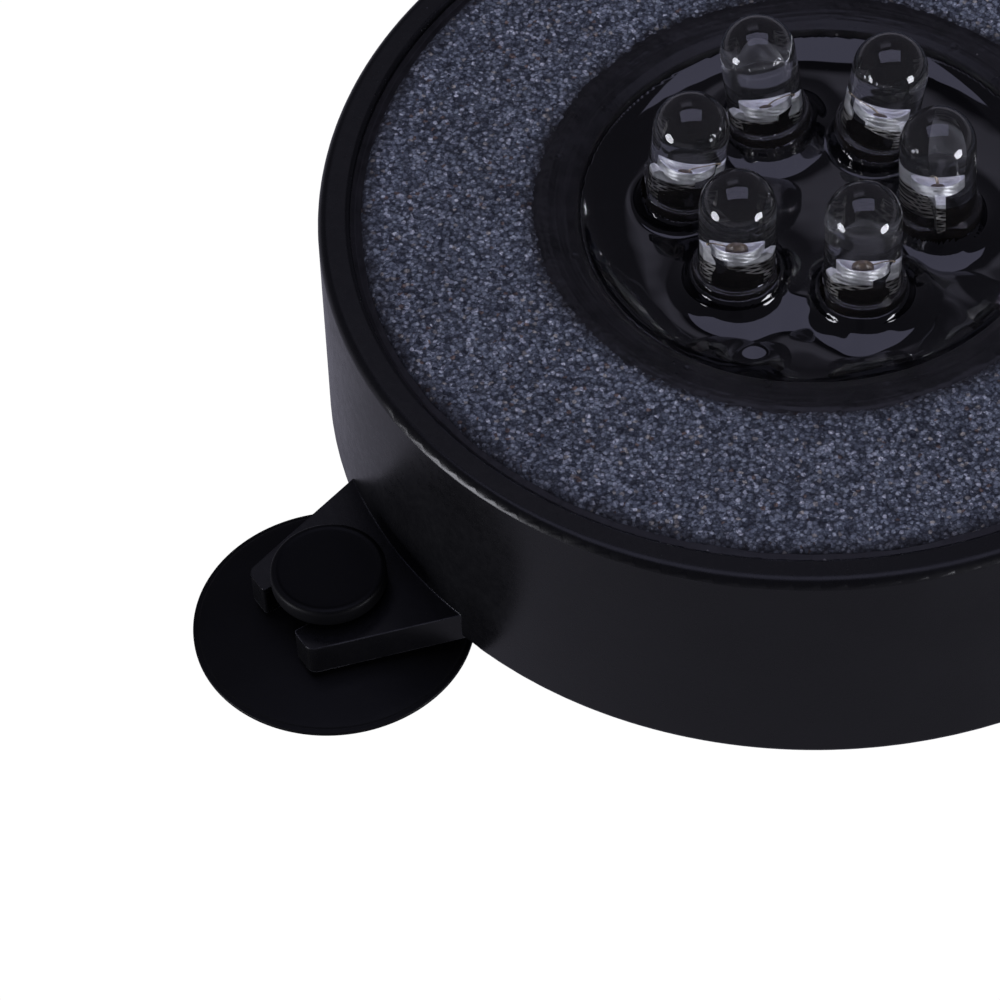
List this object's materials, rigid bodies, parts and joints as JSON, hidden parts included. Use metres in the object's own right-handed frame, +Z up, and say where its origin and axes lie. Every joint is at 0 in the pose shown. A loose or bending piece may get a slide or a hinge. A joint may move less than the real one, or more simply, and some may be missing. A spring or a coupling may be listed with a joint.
{
  "type": "air stone",
  "caption": "Round tray-shaped bubbling disc with a ring of bonded grit, a potted well of round-top LEDs in its centre, and tabs that hold slide-in suction cups.",
  "frame": {"origin": "centre of the housing's flat underside, inside the ring groove", "axes": "+Z up along the disc's axis, +Y towards the side with the hose spigot and the cable gland, one suction cup on -Y and the other two at 30 and 150 degrees from +X"},
  "size_m": [0.0842, 0.0922, 0.0263],
  "materials": {
    "housing_plastic": "fine satin moulded black",
    "grit": "rough bonded blue-grey grit",
    "epoxy": "uneven dried black epoxy",
    "potting": "glossy poured black resin",
    "led_clear": "water-clear moulded lens",
    "lead_frame": "silver-plated stamped frame",
    "die": "amber die",
    "gold_wire": "fine gold wire",
    "board": "green solder mask",
    "solder": "bright solder",
    "resistor_body": "matt black chip",
    "wire_red": "soft vinyl",
    "wire_black": "soft vinyl",
    "gland_rubber": "satin black rubber",
    "cup_rubber": "soft satin black vinyl rubber"
  },
  "bodies": {
    "base": {"housing": "housing_plastic", "air_stone": "grit", "outer_seal": "epoxy", "inner_seal": "epoxy", "potting": "potting", "led_lens_1": "led_clear", "led_lens_2": "led_clear", "led_lens_3": "led_clear", "led_lens_4": "led_clear", "led_lens_5": "led_clear", "led_lens_6": "led_clear", "led_cathode_1": "lead_frame", "led_cathode_2": "lead_frame", "led_cathode_3": "lead_frame", "led_cathode_4": "lead_frame", "led_cathode_5": "lead_frame", "led_cathode_6": "lead_frame", "led_anode_1": "lead_frame", "led_anode_2": "lead_frame", "led_anode_3": "lead_frame", "led_anode_4": "lead_frame", "led_anode_5": "lead_frame", "led_anode_6": "lead_frame", "led_dies": "die", "bond_wires": "gold_wire", "circuit_board": "board", "solder_joints": "solder", "resistor_1": "resistor_body", "resistor_2": "resistor_body", "supply_lead_red": "wire_red", "supply_lead_black": "wire_black", "air_inlet": "housing_plastic", "cable_gland": "gland_rubber"},
    "front_cup": {"suction_cup_front": "cup_rubber"},
    "right_cup": {"suction_cup_right": "cup_rubber"},
    "left_cup": {"suction_cup_left": "cup_rubber"}
  },
  "joints": [
    {"name": "front_cup_slide", "type": "slide", "parent": "base", "child": "front_cup", "axis": [0, -1, 0], "range_m": [0, 0.009]},
    {"name": "right_cup_slide", "type": "slide", "parent": "base", "child": "right_cup", "axis": [0.866, 0.5, 0], "range_m": [0, 0.009]},
    {"name": "left_cup_slide", "type": "slide", "parent": "base", "child": "left_cup", "axis": [-0.866, 0.5, 0], "range_m": [0, 0.009]}
  ]
}
